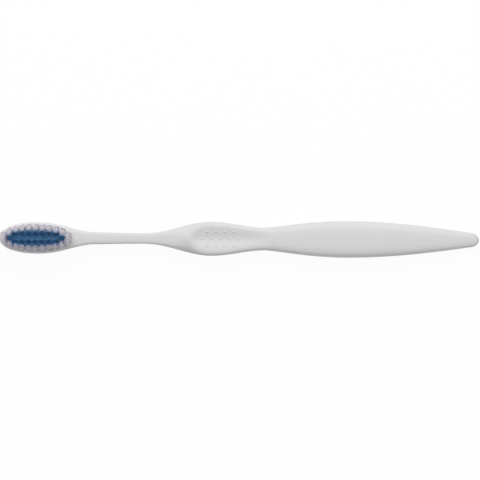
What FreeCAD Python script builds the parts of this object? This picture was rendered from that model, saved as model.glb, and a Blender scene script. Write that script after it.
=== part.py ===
import FreeCAD, Part
import math
import os
from collections import namedtuple
from FreeCAD import Vector

# Manual toothbrush, in millimetres, lying on its back.
# +X runs from the head to the tail, +Y to the brush's left, +Z the way the bristles point.
# The origin is under the middle of the length, on the surface that the brush rests on.
# Distances called "at" are measured along the brush from the toe, the free end of the head.

# Bristle field
INNER_COLUMNS = 7
INNER_PITCH = 2.62
INNER_ROW_OFFSET = 1.5
INNER_TOE_STEP = 1.9
INNER_HEEL_STEP = 2.35
OUTER_SIDE_GAP = 2.85
OUTER_END_GAP = 3.1
OUTER_RING_PITCH = 2.7
OUTER_RING_SQUARENESS = 2.05
HOLE_RADIUS = 0.85
HOLE_FLOOR = 1.9
SIDE_RIM = 0.98
TOE_RIM = 1.4

# Tufts and the plates that hold them
INNER_TUFT_HEIGHT = 10.2
OUTER_TUFT_HEIGHT = 10.8
TUFT_CLEARANCE = 0.03
TIP_GAP = 0.2
TIP_DOME = 0.35
FOLD_THICKNESS = 0.55
ANCHOR_COVER = 0.95
ANCHOR_THICKNESS = 0.3
ANCHOR_BITE = 0.15
ANCHOR_ANGLE = 30.0
ANCHOR_CLEARANCE = 0.02

# Lengths between the handle's main sections
HEAD_TO_NECK = 22.9
NECK_LENGTH = 19.4
NECK_TO_GRIP = 26.5
GRIP_TO_WAIST = 21.2
WAIST_TO_BELLY = 32.4
BELLY_TO_TAIL = 52.4

# Widths of the handle at its main sections
NECK_FRONT_WIDTH = 4.76
NECK_BACK_WIDTH = 4.16
GRIP_WIDTH = 13.5
WAIST_WIDTH = 8.96
BELLY_WIDTH = 14.44
TAIL_WIDTH = 4.76

# Thickness at each section, and its height above the surface the brush rests on
HEAD_THICKNESS = 4.8
HEAD_LIFT = 2.6
NECK_THICKNESS = 4.5
NECK_DROP = 0.3
GRIP_THICKNESS = 9.2
WAIST_THICKNESS = 7.6
WAIST_LIFT = 0.8
BELLY_THICKNESS = 9.4
TAIL_THICKNESS = 3.6
TAIL_LIFT = 2.2
REST_TRIM = 0.25
FACE_TRIM = 0.2

# How square each section is: 2 is an ellipse, and more fills the corners
HEAD_SQUARENESS = 6.0
NECK_SQUARENESS = 4.5
GRIP_SQUARENESS = 4.2
WAIST_SQUARENESS = 3.6
BELLY_SQUARENESS = 3.8
TAIL_SQUARENESS = 2.6
SHOULDER_ROUNDING = 2.2

# Rounded ends
TOE_OUTLINE_SQUARENESS = 2.2
TOE_ROUND = 1.8
TOE_ROUND_SQUARENESS = 3.0
TAIL_ROUND = 2.8

# Thumb rest: a shallow valley inside the grip's rim, blunt towards the neck and fading out towards the waist
THUMB_BEHIND_GRIP = 1.8
THUMB_RIM = 1.45
THUMB_FRONT_REACH = 10.1
THUMB_FRONT_BLUNTNESS = 8
THUMB_BACK_REACH = 22.2
THUMB_BACK_FADE = 4
THUMB_WALL_SLOPE = 0.32
THUMB_VALLEY_ROUND = 1.2
THUMB_RIM_ROUND = 0.7

# Rows of raised dots in the thumb rest
DOT_ROWS = (4, 5, 4)
DOT_PITCH = 3.5
DOT_ROW_SPACING = 2.85
DOTS_BEHIND_GRIP = 3.5
DOT_RADIUS = 0.55
DOT_HEIGHT = 0.25

# How finely the handle's skin is sampled
RING_POINTS = 36
STATION_STEP = 1.6
END_ROWS = 6

Section = namedtuple("Section", "at half_width top bottom squareness")
Tuft = namedtuple("Tuft", "name at side height")

# Places and sizes that follow from the dimensions above
inner_half_length = INNER_PITCH * (INNER_COLUMNS - 1) / 2
toe_tuft_offset = inner_half_length + INNER_TOE_STEP
heel_tuft_offset = inner_half_length + INNER_HEEL_STEP
ring_toe_length = toe_tuft_offset + OUTER_END_GAP
ring_heel_length = heel_tuft_offset + OUTER_END_GAP
ring_half_width = INNER_ROW_OFFSET + OUTER_SIDE_GAP
head_centre = ring_toe_length + HOLE_RADIUS + TOE_RIM
head_half_width = ring_half_width + HOLE_RADIUS + SIDE_RIM
face_height = HEAD_LIFT + HEAD_THICKNESS
neck_top = face_height - NECK_DROP
hole_depth = HEAD_THICKNESS - HOLE_FLOOR
hole_bottom = face_height - hole_depth
anchor_height = hole_depth - FOLD_THICKNESS - ANCHOR_COVER
anchor_width = 2 * (HOLE_RADIUS + ANCHOR_BITE)

neck_front_at = head_centre + HEAD_TO_NECK
neck_back_at = neck_front_at + NECK_LENGTH
grip_at = neck_back_at + NECK_TO_GRIP
waist_at = grip_at + GRIP_TO_WAIST
belly_at = waist_at + WAIST_TO_BELLY
thumb_at = grip_at + THUMB_BEHIND_GRIP
brush_length = belly_at + BELLY_TO_TAIL

SECTIONS = [
    Section(head_centre, head_half_width, face_height + FACE_TRIM, HEAD_LIFT, HEAD_SQUARENESS),
    Section(neck_front_at, NECK_FRONT_WIDTH / 2, neck_top, neck_top - NECK_THICKNESS, NECK_SQUARENESS),
    Section(neck_back_at, NECK_BACK_WIDTH / 2, neck_top, neck_top - NECK_THICKNESS, NECK_SQUARENESS),
    Section(grip_at, GRIP_WIDTH / 2, GRIP_THICKNESS, -REST_TRIM, GRIP_SQUARENESS),
    Section(waist_at, WAIST_WIDTH / 2, WAIST_LIFT + WAIST_THICKNESS, WAIST_LIFT, WAIST_SQUARENESS),
    Section(belly_at, BELLY_WIDTH / 2, BELLY_THICKNESS, -REST_TRIM, BELLY_SQUARENESS),
    Section(brush_length, TAIL_WIDTH / 2, TAIL_LIFT + TAIL_THICKNESS, TAIL_LIFT, TAIL_SQUARENESS),
]


def half_wave(power):
    """A stretch that leaves one section and reaches the next without a kink."""
    return lambda t: 0.5 - 0.5 * math.cos(math.pi * t ** power)


def quarter_wave(t):
    """A stretch that leaves a section level and keeps narrowing to its end."""
    return 1 - math.cos(math.pi * t / 2)


# One stretch between each two sections: powers under 1 swell early, powers over 1 late
STRETCHES = [half_wave(1.1), half_wave(0.7), half_wave(1.0), half_wave(1.0), half_wave(0.68), quarter_wave]


def superellipse_height(u, squareness):
    """Height of a unit superellipse over the distance u from its centre."""
    return max(0.0, 1 - abs(u) ** squareness) ** (1 / squareness)


def blended_section(at):
    """The handle's section at a distance from the toe, before its two ends are rounded."""
    if at <= head_centre:
        head = SECTIONS[0]
        outline = superellipse_height((head_centre - at) / head_centre, TOE_OUTLINE_SQUARENESS)
        return head._replace(at=at, half_width=head.half_width * outline)
    index = 0
    while index < len(STRETCHES) - 1 and at > SECTIONS[index + 1].at:
        index += 1
    before, after = SECTIONS[index], SECTIONS[index + 1]
    share = STRETCHES[index](min(1.0, (at - before.at) / (after.at - before.at)))
    values = [a + (b - a) * share for a, b in zip(before[1:], after[1:])]
    section = Section(at, *values)
    if after.at == grip_at:
        rounding = SHOULDER_ROUNDING * math.sin(math.pi * share ** 2)
        section = section._replace(squareness=section.squareness - rounding)
    return section


def section_at(at):
    """The handle's section with the toe's edge and the tail's end rounded off."""
    section = blended_section(at)
    thinning = superellipse_height(max(0.0, 1 - at / TOE_ROUND), TOE_ROUND_SQUARENESS)
    tail_start = brush_length - TAIL_ROUND
    tail_thinning = superellipse_height(max(0.0, (at - tail_start) / TAIL_ROUND), 2)
    middle = (section.top + section.bottom) / 2
    half = (section.top - section.bottom) / 2 * thinning * tail_thinning
    return section._replace(half_width=section.half_width * tail_thinning, top=middle + half, bottom=middle - half)


def thumb_rest_depth(section, side):
    """How deep the thumb rest lies at a point of the front: two even walls, with a rounded valley and rim."""
    ahead = max(0.0, thumb_at - section.at) / THUMB_FRONT_REACH
    behind = min(1.0, max(0.0, section.at - thumb_at) / THUMB_BACK_REACH)
    half_width = section.half_width - THUMB_RIM - GRIP_WIDTH / 2 * ahead ** THUMB_FRONT_BLUNTNESS
    slope = THUMB_WALL_SLOPE * (1 - behind ** THUMB_BACK_FADE)
    inside = half_width - (math.hypot(side, THUMB_VALLEY_ROUND) - THUMB_VALLEY_ROUND)
    return slope * (inside + math.hypot(inside, THUMB_RIM_ROUND)) / 2


def front_height(at, side):
    """Height of the handle's front over the resting surface."""
    section = section_at(at)
    middle = (section.top + section.bottom) / 2
    half = (section.top - section.bottom) / 2
    crown = superellipse_height(side / section.half_width, section.squareness)
    return middle + (half - thumb_rest_depth(section, side)) * crown


def section_ring(at):
    """Points round the handle's section at a distance from the toe."""
    section = section_at(at)
    middle = (section.top + section.bottom) / 2
    half = (section.top - section.bottom) / 2
    points = []
    for i in range(RING_POINTS):
        turn = 2 * math.pi * i / RING_POINTS
        across, up = math.cos(turn), math.sin(turn)
        reach = (abs(across) ** section.squareness + abs(up) ** section.squareness) ** (-1 / section.squareness)
        side = section.half_width * reach * across
        hollow = thumb_rest_depth(section, side) if up > 0 else 0.0
        points.append(Vector(at, side, middle + (half - hollow) * reach * up))
    return points


def station_distances():
    """Distances of the section rings from the toe, closer together at the two rounded ends."""
    angles = [math.pi / 2 * (i + 1) / END_ROWS for i in range(END_ROWS)]
    toe = [TOE_ROUND * (1 - math.cos(angle)) for angle in angles]
    tail = [brush_length - TAIL_ROUND * (1 - math.cos(angle)) for angle in reversed(angles)]
    count = round((tail[0] - toe[-1]) / STATION_STEP)
    step = (tail[0] - toe[-1]) / count
    between = [toe[-1] + step * (i + 1) for i in range(count - 1)]
    return toe + between + tail


def handle_skin():
    """A closed, smooth skin through all the section rings, as one face each for head, grip and body."""
    stations = station_distances()
    rings = [section_ring(at) for at in stations]
    ring_curves = []
    for ring in rings:
        curve = Part.BSplineCurve()
        curve.interpolate(Points=ring, PeriodicFlag=True, Parameters=list(range(RING_POINTS + 1)))
        ring_curves.append(curve)
    head, tail = SECTIONS[0], SECTIONS[-1]
    toe_tip = Vector(0, 0, (head.top + head.bottom) / 2)
    tail_tip = Vector(brush_length, 0, (tail.top + tail.bottom) / 2)
    pole_rows = [curve.getPoles() for curve in ring_curves]
    around_count = len(pole_rows[0])
    pole_rows = [[toe_tip] * around_count] + pole_rows + [[tail_tip] * around_count]
    side_line = [toe_tip] + [ring[0] for ring in rings] + [tail_tip]
    travel = [0.0]
    for here, following in zip(side_line, side_line[1:]):
        travel.append(travel[-1] + here.distanceToPoint(following))
    columns = []
    for j in range(around_count):
        curve = Part.BSplineCurve()
        curve.interpolate(Points=[row[j] for row in pole_rows], Parameters=travel)
        columns.append(curve)
    net = [list(row) for row in zip(*[curve.getPoles() for curve in columns])]
    along, around = columns[0], ring_curves[0]
    surface = Part.BSplineSurface()
    surface.buildFromPolesMultsKnots(
        net, along.getMultiplicities(), around.getMultiplicities(), along.getKnots(), around.getKnots(),
        False, True, along.Degree, around.Degree)
    heel = next(i for i, at in enumerate(stations) if at > 2 * head_centre)
    waist = next(i for i, at in enumerate(stations) if at > waist_at)
    marks = [travel[0], travel[heel + 1], travel[waist + 1], travel[-1]]
    faces = []
    for start, end in zip(marks, marks[1:]):
        stretch = surface.copy()
        stretch.segment(start, end, 0, RING_POINTS)
        faces.append(stretch.toShape())
    shell = Part.Shell(faces)
    shell.sewShape()
    return Part.Solid(shell)


def outer_ring_places():
    """Places on the left half of the outer ring, evenly spaced from toe to heel, as (along, side)."""
    steps = 2000
    power = OUTER_RING_SQUARENESS
    line = []
    for i in range(steps + 1):
        turn = math.pi * i / steps
        along, side = -math.cos(turn), math.sin(turn)
        reach = (abs(along) ** power + side ** power) ** (-1 / power)
        length = ring_toe_length if along < 0 else ring_heel_length
        line.append((length * reach * along, ring_half_width * reach * side))
    travel = [0.0]
    for here, following in zip(line, line[1:]):
        travel.append(travel[-1] + math.dist(here, following))
    count = round(travel[-1] / OUTER_RING_PITCH)
    places = []
    for i in range(count):
        wanted = travel[-1] * (i + 0.5) / count
        nearest = min(range(steps + 1), key=lambda k: abs(travel[k] - wanted))
        places.append(line[nearest])
    return places


def bristle_field():
    """Every tuft with its name, its place on the head and its height above the bristle face."""
    tufts = []
    for i in range(INNER_COLUMNS):
        at = head_centre - inner_half_length + INNER_PITCH * i
        tufts.append(Tuft(f"inner_tuft_left_{i + 1}", at, INNER_ROW_OFFSET, INNER_TUFT_HEIGHT))
        tufts.append(Tuft(f"inner_tuft_right_{i + 1}", at, -INNER_ROW_OFFSET, INNER_TUFT_HEIGHT))
    tufts.append(Tuft("inner_toe_tuft", head_centre - toe_tuft_offset, 0.0, INNER_TUFT_HEIGHT))
    tufts.append(Tuft("inner_heel_tuft", head_centre + heel_tuft_offset, 0.0, INNER_TUFT_HEIGHT))
    for i, (along, side) in enumerate(outer_ring_places()):
        at = head_centre + along
        tufts.append(Tuft(f"outer_tuft_left_{i + 1:02d}", at, side, OUTER_TUFT_HEIGHT))
        tufts.append(Tuft(f"outer_tuft_right_{i + 1:02d}", at, -side, OUTER_TUFT_HEIGHT))
    return tufts


def tip_radius(tuft, tufts):
    """The widest tip that keeps a tuft apart from its nearest neighbour by the tip gap."""
    others = [other for other in tufts if other is not tuft]
    closest = min(math.hypot(other.at - tuft.at, other.side - tuft.side) for other in others)
    return (closest - TIP_GAP) / 2


def anchor_plate(tuft, clearance=0.0):
    """The flat plate across a tuft's hole, or with a clearance the room it takes in the tuft."""
    width = anchor_width + 2 * clearance
    thickness = ANCHOR_THICKNESS + 2 * clearance
    corner = Vector(-width / 2, -thickness / 2, 0)
    plate = Part.makeBox(width, thickness, anchor_height + clearance, corner)
    plate.rotate(Vector(), Vector(0, 0, 1), ANCHOR_ANGLE)
    plate.translate(Vector(tuft.at, tuft.side, hole_bottom + FOLD_THICKNESS))
    return plate


def tuft_solid(tuft, tip):
    """A tuft: a straight root in its hole, a flared bundle above the face and a rounded, trimmed tip."""
    root = HOLE_RADIUS - TUFT_CLEARANCE
    height = hole_depth + tuft.height
    cap_radius = (tip ** 2 + TIP_DOME ** 2) / (2 * TIP_DOME)
    half_cap = math.asin(tip / cap_radius) / 2
    shoulder = Vector(tip, 0, height - TIP_DOME)
    cap_middle = Vector(cap_radius * math.sin(half_cap), 0, height - cap_radius * (1 - math.cos(half_cap)))
    corners = [Vector(0, 0, height), Vector(), Vector(root, 0, 0), Vector(root, 0, hole_depth), shoulder]
    edges = [Part.makeLine(a, b) for a, b in zip(corners, corners[1:])]
    edges.append(Part.Arc(shoulder, cap_middle, corners[0]).toShape())
    bundle = Part.Face(Part.Wire(edges)).revolve(Vector(), Vector(0, 0, 1), 360)
    bundle.translate(Vector(tuft.at, tuft.side, hole_bottom))
    return bundle.cut(anchor_plate(tuft, ANCHOR_CLEARANCE))


def thumb_dots():
    """Small raised caps in staggered rows on the thumb rest."""
    ball_radius = (DOT_RADIUS ** 2 + DOT_HEIGHT ** 2) / (2 * DOT_HEIGHT)
    middle = grip_at + DOTS_BEHIND_GRIP
    dots = []
    for row, count in enumerate(DOT_ROWS):
        side = DOT_ROW_SPACING * ((len(DOT_ROWS) - 1) / 2 - row)
        for i in range(count):
            at = middle + DOT_PITCH * (i - (count - 1) / 2)
            centre = Vector(at, side, front_height(at, side) + DOT_HEIGHT - ball_radius)
            dots.append(Part.makeSphere(ball_radius, centre))
    return dots


def handle_solid(tufts):
    """The one-piece moulded handle, with its bristle holes and the slots that the plates press open."""
    reach = brush_length
    below = Part.makeBox(3 * reach, 2 * reach, reach, Vector(-reach, -reach, -reach))
    above_face = Part.makeBox(reach + neck_front_at, 2 * reach, reach, Vector(-reach, -reach, face_height))
    handle = handle_skin().fuse(thumb_dots())
    cutters = [below, above_face]
    for tuft in tufts:
        floor = Vector(tuft.at, tuft.side, hole_bottom)
        cutters.append(Part.makeCylinder(HOLE_RADIUS, HEAD_THICKNESS, floor))
        cutters.append(anchor_plate(tuft))
    return handle.cut(cutters)


def centred(shape):
    """The shape with the middle of the brush's length over the origin."""
    shape.translate(Vector(-brush_length / 2, 0, 0))
    return shape


def main():
    os.makedirs("parts", exist_ok=True)
    tufts = bristle_field()
    pieces = {"handle": handle_solid(tufts)}
    pieces["tuft_anchors"] = Part.makeCompound([anchor_plate(tuft) for tuft in tufts])
    for tuft in tufts:
        pieces[tuft.name] = tuft_solid(tuft, tip_radius(tuft, tufts))
    for name, shape in pieces.items():
        centred(shape).exportStep(f"parts/{name}.step")
    print("length", round(brush_length, 2), "tufts", len(tufts))


main()
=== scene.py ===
import math
import random
from typing import NamedTuple

import bmesh
import bpy
from mathutils import Matrix, Vector


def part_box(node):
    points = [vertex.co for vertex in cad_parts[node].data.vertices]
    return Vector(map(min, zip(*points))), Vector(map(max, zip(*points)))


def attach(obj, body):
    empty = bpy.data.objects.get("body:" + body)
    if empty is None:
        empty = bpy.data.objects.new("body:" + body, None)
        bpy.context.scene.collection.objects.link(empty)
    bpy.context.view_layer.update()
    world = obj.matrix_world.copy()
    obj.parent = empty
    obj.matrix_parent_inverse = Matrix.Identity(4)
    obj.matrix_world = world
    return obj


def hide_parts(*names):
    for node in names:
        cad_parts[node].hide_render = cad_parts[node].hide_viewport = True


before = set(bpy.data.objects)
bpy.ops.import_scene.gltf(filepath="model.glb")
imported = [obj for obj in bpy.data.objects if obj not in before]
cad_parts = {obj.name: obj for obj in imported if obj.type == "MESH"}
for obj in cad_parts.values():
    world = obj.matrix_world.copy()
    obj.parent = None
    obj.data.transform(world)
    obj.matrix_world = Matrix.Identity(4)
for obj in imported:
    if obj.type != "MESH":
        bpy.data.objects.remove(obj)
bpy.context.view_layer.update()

MM = 0.001


class TuftShape(NamedTuple):
    reach: float   # how far the tips spread from the tuft's middle
    crown: float   # how much lower the tips at the tuft's sides are than those in its middle
    slant: float   # how steeply the trim falls towards the edge of the head


class Nylon(NamedTuple):
    name: str
    slot: str
    # Painted shade at the tips and painted light along the sides, blended by height, stand in for light
    # scattered in and between the strands
    painted_tip_shade: tuple
    painted_side_light: tuple
    tip_height: float    # the painted tip shade is full from here up
    side_height: float   # the painted side light is full from here down
    streaks: float       # how much darker single strands may be
    glow: float          # how much of the light passes through


def rgba(red, green, blue):
    return (red, green, blue, 1.0)


# Strands, each folded in two under the plate at the bottom of its hole
STRAND_RADIUS = 0.1 * MM
STRAND_SIDES = 6
FOLDED_STRANDS = 68
ROUNDED_END = ((0.92, 0.38), (0.6, 0.8))   # width and reach of its rings, in strand radii
GOLDEN_TURN = math.pi * (3 - math.sqrt(5))

# Tuft holes and their plates
HOLE_DEPTH = 2.9 * MM
MOUTH_REACH = 0.72 * MM
FOLD_REACH = 0.8 * MOUTH_REACH
PLATE_FOOT = 0.55 * MM
PLATE_CLEARANCE = 0.26 * MM
PLATE_TURN = math.radians(30)

# Spread and trim of the strands
CORE_SPREAD = 0.75    # how much strands in the middle spread, beside those at the rim
OUTWARD_BEND = 0.2
BEND_PLACES = (0.25, 0.5, 0.75, 1.0)
ALONG_CROWN = 0.25    # how much of the crown there is along the head, beside across it
TIP_UNEVENNESS = 0.06 * MM
TIP_STRAY = 0.08 * MM
TRIM_MARGIN = 0.02 * MM

BLUE_TUFT = TuftShape(reach=1.78 * MM, crown=1.2 * MM, slant=0.0)
BLUE_END_TUFT = TuftShape(reach=1.15 * MM, crown=0.45 * MM, slant=0.0)
WHITE_TUFT = TuftShape(reach=1.42 * MM, crown=0.2 * MM, slant=1.15)

# Nylon of the strands
# Blue: painted dark navy shade at the tips and painted lighter blue along the sides, for light scattered
# through the translucent blue strands
BLUE_NYLON = Nylon(
    name="blue_nylon", slot="blue_bristle",
    painted_tip_shade=rgba(0.038, 0.132, 0.31), painted_side_light=rgba(0.24, 0.60, 0.98),
    tip_height=17.42 * MM, side_height=17.08 * MM, streaks=0.3, glow=0.1)
# White: painted lavender shade at the tips for blue light bounced from the blue tufts; tips set lower by
# the trim towards the head's edge get the brighter painted side light
WHITE_NYLON = Nylon(
    name="white_nylon", slot="white_bristle",
    painted_tip_shade=rgba(0.66, 0.71, 0.94), painted_side_light=rgba(0.968, 0.942, 0.995),
    tip_height=17.9 * MM, side_height=16.8 * MM, streaks=0.04, glow=0.05)
STREAK_GRAIN = 0.24 * MM
STREAK_STRETCH = (1.0, 1.0, 0.02)   # drawn out along the strands
STREAK_DEPTH = 0.5
NYLON_ROUGHNESS = 0.34
NYLON_ROUGHNESS_SPREAD = 0.14
NYLON_IOR = 1.53
NYLON_SPECULAR = 0.3

# Handle plastic
CLOUD_GRAIN = 9 * MM
CLOUD_STRETCH = (0.35, 1.0, 1.0)
CLOUD_DARK = rgba(0.695, 0.690, 0.700)
CLOUD_LIGHT = rgba(0.730, 0.727, 0.728)
SPECK_GRAIN = 0.45 * MM
SPECK_COLOUR = rgba(0.60, 0.59, 0.62)
SPECK_SHARE = 0.06
MOULD_GRAIN = 0.16 * MM
MOULD_GRAIN_DEPTH = 0.010 * MM
MOULD_GRAIN_STRENGTH = 0.5
PLASTIC_ROUGHNESS = 0.45
PLASTIC_ROUGHNESS_SPREAD = 0.10
PLASTIC_IOR = 1.49
PLASTIC_SPECULAR = 0.25

# Poles of the handle's round faces
POLE_FACE_AREA = 1e-6 * MM ** 2
WELD_GAP = 1e-4 * MM

# Anchor plates
ROLLING_GRAIN = 0.05 * MM
ROLLING_STRETCH = (0.1, 1.0, 1.0)
BRASS_DARK = rgba(0.72, 0.56, 0.27)
BRASS_LIGHT = rgba(0.83, 0.69, 0.40)
BRASS_ROUGHNESS = 0.25
BRASS_ROUGHNESS_SPREAD = 0.2

# The camera looks straight down on the brush, a little off its middle and turned by a hair
PICTURE_WIDTH = 190.1 * MM
FOCUS_HEIGHT = 5.0 * MM
CAMERA_DISTANCE = 850 * MM
CAMERA_OFFSET = (0.2 * MM, -0.42 * MM)
CAMERA_ROLL = math.radians(0.28)
CAMERA_NEAREST = 10 * MM
CAMERA_FARTHEST = 10000 * MM
SENSOR = 36.0

# Studio
KEY_ELEVATION = math.radians(50)
KEY_DISTANCE = 700 * MM
KEY_LENGTH = 792 * MM
KEY_WIDTH = 360 * MM
KEY_POWER = 3.35
SKY_LEVEL = 0.50
SKY_COLOUR = rgba(1.0, 0.99, 1.0)
WHITE = rgba(1.0, 1.0, 1.0)
FLOOR_SIZE = 4000 * MM
FLOOR_DROP = 0.05 * MM   # so that the floor and the flats of the back never share a plane
FLOOR_GLOW = 0.95
FLOOR_SHADED = rgba(0.95, 0.95, 0.95)
FLOOR_BOUNCE = rgba(0.75, 0.75, 0.75)


class Wire:
    """A socket in a shader, written in sums like a number: each operation adds a Math node."""

    def __init__(self, shader, socket):
        self.shader = shader
        self.socket = socket

    def math(self, operation, first, second):
        return self.shader.node("ShaderNodeMath", {"operation": operation}, {0: first, 1: second})

    def __add__(self, other):
        return self.math("ADD", self, other)

    def __radd__(self, other):
        return self.math("ADD", other, self)

    def __mul__(self, other):
        return self.math("MULTIPLY", self, other)

    def __rmul__(self, other):
        return self.math("MULTIPLY", other, self)

    def __or__(self, other):
        return self.math("MAXIMUM", self, other)

    def __ror__(self, other):
        return self.math("MAXIMUM", other, self)


class Shader:
    """The nodes of one material or of the world."""

    def __init__(self, owner):
        owner.use_nodes = True
        self.tree = owner.node_tree
        self.tree.nodes.clear()

    def node(self, kind, settings=None, sockets=None, output=0):
        """Adds a node, sets it up, fills or links its sockets and gives back one of its outputs."""
        made = self.tree.nodes.new(kind)
        for name, value in (settings or {}).items():
            setattr(made, name, value)
        for key, value in (sockets or {}).items():
            if isinstance(value, Wire):
                self.tree.links.new(value.socket, made.inputs[key])
            else:
                made.inputs[key].default_value = value
        return Wire(self, made.outputs[output]) if made.outputs else made

    def place(self):
        """Where a point of the surface is, in metres."""
        return self.node("ShaderNodeTexCoord", output="Object")

    def height(self):
        """How high a point of the surface is, in metres."""
        return self.node("ShaderNodeSeparateXYZ", sockets={0: self.place()}, output="Z")

    def stretched(self, vector, amounts):
        return self.node("ShaderNodeVectorMath", {"operation": "MULTIPLY"}, {0: vector, 1: amounts})

    def noise(self, vector, grain, detail=2.0, roughness=0.5):
        """Smooth noise from 0 to 1 whose grain is given in metres."""
        values = {"Vector": vector, "Scale": 1 / grain, "Detail": detail, "Roughness": roughness}
        return self.node("ShaderNodeTexNoise", {"noise_dimensions": "3D"}, values, "Fac")

    def blend(self, share, first, second):
        """A colour between two."""
        return self.node("ShaderNodeMix", {"data_type": "RGBA"}, {0: share, 6: first, 7: second}, 2)

    def ramp(self, value, low, high):
        """0 where the value is at the low end, 1 where it is at the high end, smooth between."""
        return self.node("ShaderNodeMapRange", {"interpolation_type": "SMOOTHSTEP"},
                         {"Value": value, "From Min": low, "From Max": high})

    def bump(self, height, depth, strength):
        values = {"Height": height, "Distance": depth, "Strength": strength}
        return self.node("ShaderNodeBump", sockets=values)

    def ray(self, kind):
        """1 for rays of one kind, 0 for the others."""
        return self.node("ShaderNodeLightPath", output=kind)

    def mixed(self, share, first, second):
        """A shader between two."""
        return self.node("ShaderNodeMixShader", sockets={0: share, 1: first, 2: second})

    def surface(self, shader):
        self.node("ShaderNodeOutputMaterial", sockets={"Surface": shader})


def satin_white_plastic():
    """Moulded white plastic: an even satin with a fine mould grain and very slight flow clouds."""
    material = bpy.data.materials.new("satin_white_plastic")
    shader = Shader(material)
    place = shader.place()
    clouds = shader.noise(shader.stretched(place, CLOUD_STRETCH), CLOUD_GRAIN, detail=3.0)
    specks = shader.noise(place, SPECK_GRAIN)
    grain = shader.noise(place, MOULD_GRAIN, detail=3.0, roughness=0.6)
    tone = shader.blend(clouds, CLOUD_DARK, CLOUD_LIGHT)
    plastic = shader.node("ShaderNodeBsdfPrincipled", sockets={
        "Base Color": shader.blend(SPECK_SHARE * specks, tone, SPECK_COLOUR),
        "Roughness": PLASTIC_ROUGHNESS + PLASTIC_ROUGHNESS_SPREAD * specks,
        "Normal": shader.bump(grain, MOULD_GRAIN_DEPTH, MOULD_GRAIN_STRENGTH),
        "IOR": PLASTIC_IOR,
        "Specular IOR Level": PLASTIC_SPECULAR,
    })
    shader.surface(plastic)
    return material


def nylon(look):
    """Nylon strands, a little translucent, with painted shade at their tips and painted light along their
    sides.
    """
    material = bpy.data.materials.new(look.name)
    shader = Shader(material)
    # painted shade at the tips and painted light along the sides, by height
    tips = shader.ramp(shader.height(), look.side_height, look.tip_height)
    strands = shader.noise(shader.stretched(shader.place(), STREAK_STRETCH), STREAK_GRAIN, detail=1.0)
    dark_strand = rgba(*(STREAK_DEPTH * part for part in look.painted_tip_shade[:3]))
    colour = shader.blend(tips, look.painted_side_light, look.painted_tip_shade)
    colour = shader.blend(look.streaks * strands, colour, dark_strand)
    solid = shader.node("ShaderNodeBsdfPrincipled", sockets={
        "Base Color": colour,
        "Roughness": NYLON_ROUGHNESS + NYLON_ROUGHNESS_SPREAD * strands,
        "IOR": NYLON_IOR,
        "Specular IOR Level": NYLON_SPECULAR,
    })
    passing = shader.node("ShaderNodeBsdfTranslucent", sockets={"Color": colour})
    shader.surface(shader.mixed(look.glow, solid, passing))
    return material


def rolled_brass():
    """Thin rolled brass strip, with fine rolling lines along it."""
    material = bpy.data.materials.new("rolled_brass")
    shader = Shader(material)
    lines = shader.noise(shader.stretched(shader.place(), ROLLING_STRETCH), ROLLING_GRAIN)
    brass = shader.node("ShaderNodeBsdfPrincipled", sockets={
        "Base Color": shader.blend(lines, BRASS_DARK, BRASS_LIGHT),
        "Metallic": 1.0,
        "Roughness": BRASS_ROUGHNESS + BRASS_ROUGHNESS_SPREAD * lines,
    })
    shader.surface(brass)
    return material


def half_round_places(count):
    """Evenly scattered places in the half of a unit disc with v over 0, as (u, v)."""
    places = []
    step = 0
    while len(places) < count:
        reach = min(1.0, math.sqrt((step + 0.5) / (2 * count)))
        u = reach * math.cos(step * GOLDEN_TURN)
        v = reach * math.sin(step * GOLDEN_TURN)
        if v > 0:
            places.append((u, v))
        step += 1
    return places


def sweep_strand(bm, line):
    """A closed strand with rounded ends along a line of points."""
    steps = [(following - here).normalized() for here, following in zip(line, line[1:])]
    bends = [(before + after).normalized() for before, after in zip(steps, steps[1:])]
    headings = [steps[0]] + bends + [steps[-1]]
    start, end = steps[0], steps[-1]
    rings = [(point, heading, 1.0) for point, heading in zip(line, headings)]
    for width, reach in ROUNDED_END:
        rings.insert(0, (line[0] - start * STRAND_RADIUS * reach, start, width))
        rings.append((line[-1] + end * STRAND_RADIUS * reach, end, width))
    side = start.orthogonal().normalized()
    loops = []
    for centre, heading, width in rings:
        side = (side - heading * side.dot(heading)).normalized()
        other = heading.cross(side)
        loop = []
        for i in range(STRAND_SIDES):
            turn = 2 * math.pi * i / STRAND_SIDES
            spoke = side * math.cos(turn) + other * math.sin(turn)
            loop.append(bm.verts.new(centre + spoke * STRAND_RADIUS * width))
        loops.append(loop)
    first = bm.verts.new(line[0] - start * STRAND_RADIUS)
    last = bm.verts.new(line[-1] + end * STRAND_RADIUS)
    for i in range(STRAND_SIDES):
        j = (i + 1) % STRAND_SIDES
        for here, following in zip(loops, loops[1:]):
            bm.faces.new((here[i], here[j], following[j], following[i]))
        bm.faces.new((first, loops[0][j], loops[0][i]))
        bm.faces.new((last, loops[-1][i], loops[-1][j]))


def outer_ring():
    """The middle of the ring of outer tufts, and its half length and half width."""
    boxes = [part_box(name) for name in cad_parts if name.startswith("outer_tuft")]
    places = [(lowest + highest) / 2 for lowest, highest in boxes]
    along = [place.x for place in places]
    across = [place.y for place in places]
    middle = Vector((max(along) + min(along), max(across) + min(across))) / 2
    half = Vector((max(along) - min(along), max(across) - min(across))) / 2
    return middle, half


ring_middle, ring_half = outer_ring()


def towards_edge(place):
    """The way from a tuft of the outer ring to the edge of the head, seen from above."""
    return Vector(((place.x - ring_middle.x) / ring_half.x, (place.y - ring_middle.y) / ring_half.y))


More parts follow.
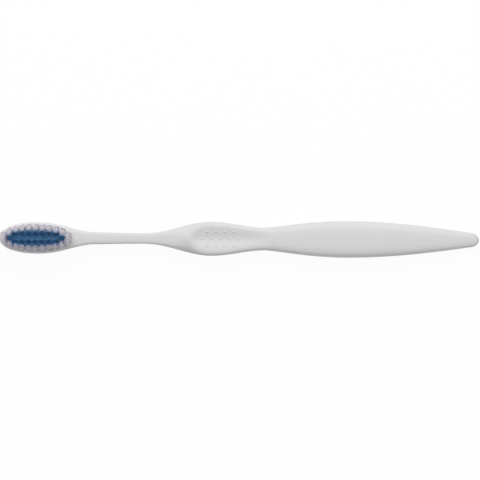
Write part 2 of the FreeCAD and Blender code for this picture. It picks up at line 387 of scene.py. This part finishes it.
def mouth_place(u, v, way):
    """Where a leg of a folded strand leaves the hole, on one side of the plate or the other."""
    across = PLATE_CLEARANCE + (MOUTH_REACH - PLATE_CLEARANCE) * v
    place = Vector((FOLD_REACH * u, way * across, 0))
    return place * min(1.0, MOUTH_REACH / place.length)


def tip_place(u, v, way, reach, draw):
    """Where a leg's tip ends, in the plate's own directions: strands near the middle spread less."""
    spread = reach * (CORE_SPREAD + (1 - CORE_SPREAD) * (u * u + v * v))
    return Vector((spread * u + draw.gauss(0, TIP_STRAY), way * spread * v + draw.gauss(0, TIP_STRAY), 0))


def strand_leg(foot, mouth, tip):
    """The way of a leg from beside the plate, through the hole's mouth and bending outwards to its tip."""
    leg = [foot, mouth]
    for share in BEND_PLACES:
        point = mouth.lerp(tip, share * (1 - OUTWARD_BEND + OUTWARD_BEND * share))
        point.z = mouth.z + (tip.z - mouth.z) * share
        leg.append(point)
    return leg


def tuft(node, material, shape, seed):
    """A tuft of nylon strands, each folded under the plate in its hole and spread towards its two tips."""
    lowest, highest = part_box(node)
    middle = (lowest + highest) / 2
    draw = random.Random(seed)
    turned = Matrix.Translation((middle.x, middle.y, lowest.z)) @ Matrix.Rotation(PLATE_TURN, 4, "Z")
    slant = shape.slant * towards_edge(middle)
    trim_height = highest.z - STRAND_RADIUS - TRIM_MARGIN
    bm = bmesh.new()
    for u, v in half_round_places(FOLDED_STRANDS):
        legs = []
        for way in (1, -1):
            mouth = mouth_place(u, v, way)
            foot = turned @ (mouth + Vector((0, 0, PLATE_FOOT)))
            mouth = turned @ (mouth + Vector((0, 0, HOLE_DEPTH)))
            tip = turned @ tip_place(u, v, way, shape.reach, draw)
            off = (tip - middle).xy
            crown = shape.crown * (off.y ** 2 + ALONG_CROWN * off.x ** 2) / shape.reach ** 2
            fall = slant.dot(off) + slant.length * shape.reach
            tip.z = trim_height - crown - fall - TIP_UNEVENNESS * draw.random()
            legs.append(strand_leg(foot, mouth, tip))
        fold = turned @ Vector((FOLD_REACH * u, 0, STRAND_RADIUS))
        sweep_strand(bm, legs[0][::-1] + [fold] + legs[1])
    mesh = bpy.data.meshes.new(node + "_strands")
    bm.to_mesh(mesh)
    bm.free()
    mesh.shade_smooth()
    mesh.materials.append(material)
    piece = bpy.data.objects.new(node + "_strands", mesh)
    bpy.context.collection.objects.link(piece)
    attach(piece, "root")
    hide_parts(node)


def bristles():
    """The outer ring of white tufts and the blue tufts inside it."""
    blue = nylon(BLUE_NYLON)
    white = nylon(WHITE_NYLON)
    nodes = sorted(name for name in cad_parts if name.startswith(("inner_", "outer_")))
    for seed, name in enumerate(nodes):
        if name.startswith("outer_"):
            tuft(name, white, WHITE_TUFT, seed)
        elif name.endswith("_tuft"):
            tuft(name, blue, BLUE_END_TUFT, seed)
        else:
            tuft(name, blue, BLUE_TUFT, seed)


def paint_node(node, material):
    """Gives a CAD piece its finish."""
    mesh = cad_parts[node].data
    mesh.materials.clear()
    mesh.materials.append(material)


def weld_poles(node):
    """Joins the points that meet at the poles of a CAD piece, so that no face without area is left."""
    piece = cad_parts[node]
    group = piece.vertex_groups.new(name="poles")
    for face in piece.data.polygons:
        if face.area < POLE_FACE_AREA:
            group.add(list(face.vertices), 1.0, "ADD")
    weld = piece.modifiers.new("weld", "WELD")
    weld.vertex_group = group.name
    weld.merge_threshold = WELD_GAP


def floor():
    """A plain white floor that keeps a soft shadow of the brush."""
    half = FLOOR_SIZE / 2
    bm = bmesh.new()
    corners = [(-half, -half), (half, -half), (half, half), (-half, half)]
    bm.faces.new([bm.verts.new((x, y, -FLOOR_DROP)) for x, y in corners])
    mesh = bpy.data.meshes.new("floor")
    bm.to_mesh(mesh)
    bm.free()
    material = bpy.data.materials.new("white_floor")
    shader = Shader(material)
    bounce = shader.node("ShaderNodeBsdfDiffuse", sockets={"Color": FLOOR_BOUNCE})
    shaded = shader.node("ShaderNodeBsdfDiffuse", sockets={"Color": FLOOR_SHADED})
    glow = shader.node("ShaderNodeEmission", sockets={"Color": WHITE, "Strength": 1.0})
    seen = shader.ray("Is Camera Ray") | shader.ray("Is Glossy Ray") | shader.ray("Is Transmission Ray")
    shader.surface(shader.mixed(seen, bounce, shader.mixed(FLOOR_GLOW, shaded, glow)))
    mesh.materials.append(material)
    plane = bpy.data.objects.new("floor", mesh)
    bpy.context.collection.objects.link(plane)


def studio():
    """One large soft lamp on the brush's left and an even sky."""
    lamp = bpy.data.lights.new("key", "AREA")
    lamp.shape = "RECTANGLE"
    lamp.size = KEY_LENGTH
    lamp.size_y = KEY_WIDTH
    lamp.energy = KEY_POWER
    key = bpy.data.objects.new("key", lamp)
    key.location = (0, KEY_DISTANCE * math.cos(KEY_ELEVATION), KEY_DISTANCE * math.sin(KEY_ELEVATION))
    key.rotation_mode = "QUATERNION"
    key.rotation_quaternion = (-key.location).to_track_quat("-Z", "Y")
    bpy.context.collection.objects.link(key)
    world = bpy.data.worlds.new("sky")
    bpy.context.scene.world = world
    shader = Shader(world)
    sky = shader.node("ShaderNodeBackground", sockets={"Color": SKY_COLOUR, "Strength": SKY_LEVEL})
    backdrop = shader.node("ShaderNodeBackground", sockets={"Color": WHITE, "Strength": 1.0})
    seen = shader.mixed(shader.ray("Is Camera Ray"), sky, backdrop)
    shader.node("ShaderNodeOutputWorld", sockets={"Surface": seen})


def camera():
    """The camera over the brush, with a long lens."""
    lens = bpy.data.cameras.new("camera")
    lens.sensor_width = SENSOR
    lens.lens = SENSOR * CAMERA_DISTANCE / PICTURE_WIDTH
    lens.clip_start = CAMERA_NEAREST
    lens.clip_end = CAMERA_FARTHEST
    eye = bpy.data.objects.new("camera", lens)
    eye.location = (*CAMERA_OFFSET, FOCUS_HEIGHT + CAMERA_DISTANCE)
    eye.rotation_euler = (0, 0, CAMERA_ROLL)
    bpy.context.collection.objects.link(eye)
    bpy.context.scene.camera = eye


paint_node("handle", satin_white_plastic())
weld_poles("handle")
paint_node("tuft_anchors", rolled_brass())
bristles()
floor()
studio()
camera()
bpy.context.scene.view_settings.view_transform = "Standard"
